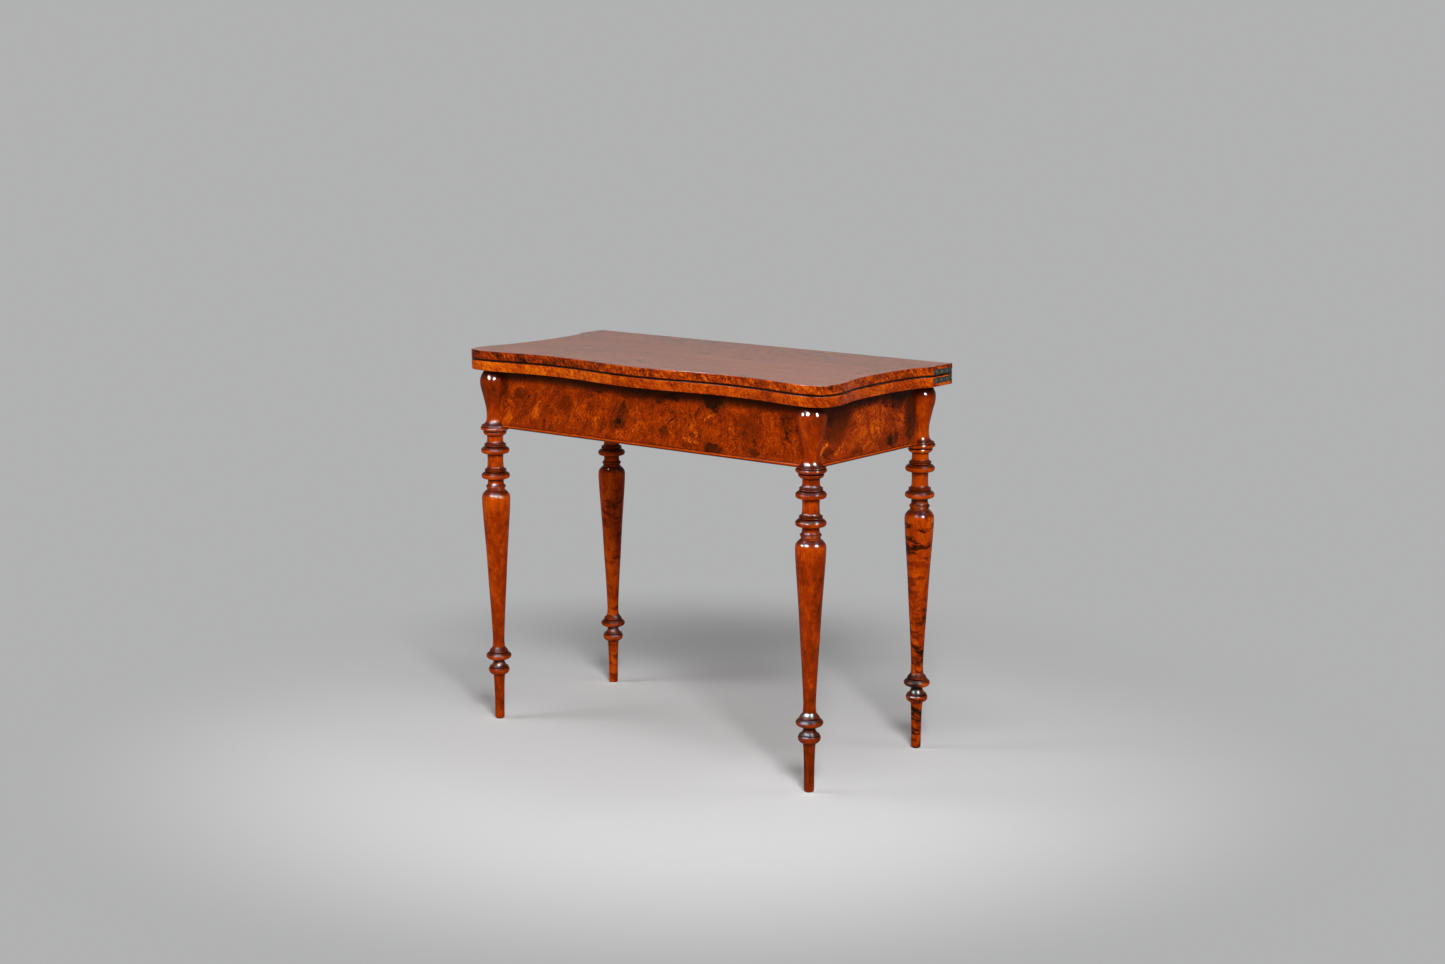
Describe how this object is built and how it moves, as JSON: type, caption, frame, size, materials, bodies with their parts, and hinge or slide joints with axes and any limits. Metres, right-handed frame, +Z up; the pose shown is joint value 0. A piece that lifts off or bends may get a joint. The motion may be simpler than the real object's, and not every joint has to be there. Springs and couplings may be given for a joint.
{
  "type": "games table",
  "caption": "Fold-over games table on turned legs: the double top swivels a quarter turn over a storage well, then unfolds on link hinges to a square baize playing surface.",
  "frame": {"origin": "on the floor under the middle of the folded top's outline", "axes": "+X along the long side, to the right seen from the front; +Y to the back, where the leaves are hinged; +Z up"},
  "size_m": [0.884, 0.417, 0.76],
  "materials": {
    "polished_wood": "figured orange-brown wood, French polished to a gloss",
    "plain_wood": "bare planed softwood, aged",
    "baize": "napped green wool baize",
    "aged_brass": "tarnished brown brass",
    "dark_iron": "dark forged iron, dull"
  },
  "bodies": {
    "frame": {"leg_front_left": "polished_wood", "leg_front_right": "polished_wood", "leg_back_left": "polished_wood", "leg_back_right": "polished_wood", "front_rail": "polished_wood", "back_rail": "polished_wood", "left_rail": "polished_wood", "right_rail": "polished_wood", "front_bead": "polished_wood", "left_bead": "polished_wood", "right_bead": "polished_wood", "corner_block_front_left": "plain_wood", "corner_block_front_right": "plain_wood", "corner_block_back_left": "plain_wood", "corner_block_back_right": "plain_wood", "floor_ledge_front": "plain_wood", "floor_ledge_back": "plain_wood", "well_floor": "plain_wood", "well_partition": "plain_wood", "pivot_rail": "plain_wood"},
    "lower_top": {"lower_leaf": "polished_wood", "lower_baize": "baize", "lower_hinge_plate_left": "aged_brass", "lower_hinge_plate_right": "aged_brass", "lower_hinge_pin_left": "aged_brass", "lower_hinge_pin_right": "aged_brass", "lower_hinge_screw_1": "aged_brass", "lower_hinge_screw_2": "aged_brass", "lower_hinge_screw_3": "aged_brass", "lower_hinge_screw_4": "aged_brass", "lower_hinge_screw_5": "aged_brass", "lower_hinge_screw_6": "aged_brass", "pivot_plate": "dark_iron", "pivot_pin": "dark_iron", "pivot_washer": "dark_iron", "pivot_nut": "dark_iron", "pivot_plate_screw_1": "dark_iron", "pivot_plate_screw_2": "dark_iron", "pivot_plate_screw_3": "dark_iron", "pivot_plate_screw_4": "dark_iron", "stop_peg": "plain_wood"},
    "links": {"hinge_link_left": "aged_brass", "hinge_link_right": "aged_brass"},
    "upper_top": {"upper_leaf": "polished_wood", "upper_baize": "baize", "upper_hinge_plate_left": "aged_brass", "upper_hinge_plate_right": "aged_brass", "upper_hinge_pin_left": "aged_brass", "upper_hinge_pin_right": "aged_brass", "upper_hinge_screw_1": "aged_brass", "upper_hinge_screw_2": "aged_brass", "upper_hinge_screw_3": "aged_brass", "upper_hinge_screw_4": "aged_brass", "upper_hinge_screw_5": "aged_brass", "upper_hinge_screw_6": "aged_brass"}
  },
  "joints": [
    {"name": "top_swivel", "type": "hinge", "parent": "frame", "child": "lower_top", "pos_m": [0.10425, 0.10425, 0.72], "axis": [0, 0, 1], "range_deg": [0, 90]},
    {"name": "link_fold", "type": "hinge", "parent": "lower_top", "child": "links", "pos_m": [0, 0.204, 0.7354], "axis": [-1, 0, 0], "range_deg": [0, 90]},
    {"name": "leaf_fold", "type": "hinge", "parent": "links", "child": "upper_top", "pos_m": [0, 0.204, 0.745], "axis": [-1, 0, 0], "range_deg": [0, 90]}
  ],
  "couplings": [
    {"joint": "link_fold", "follows": "leaf_fold", "ratio": 1}
  ]
}
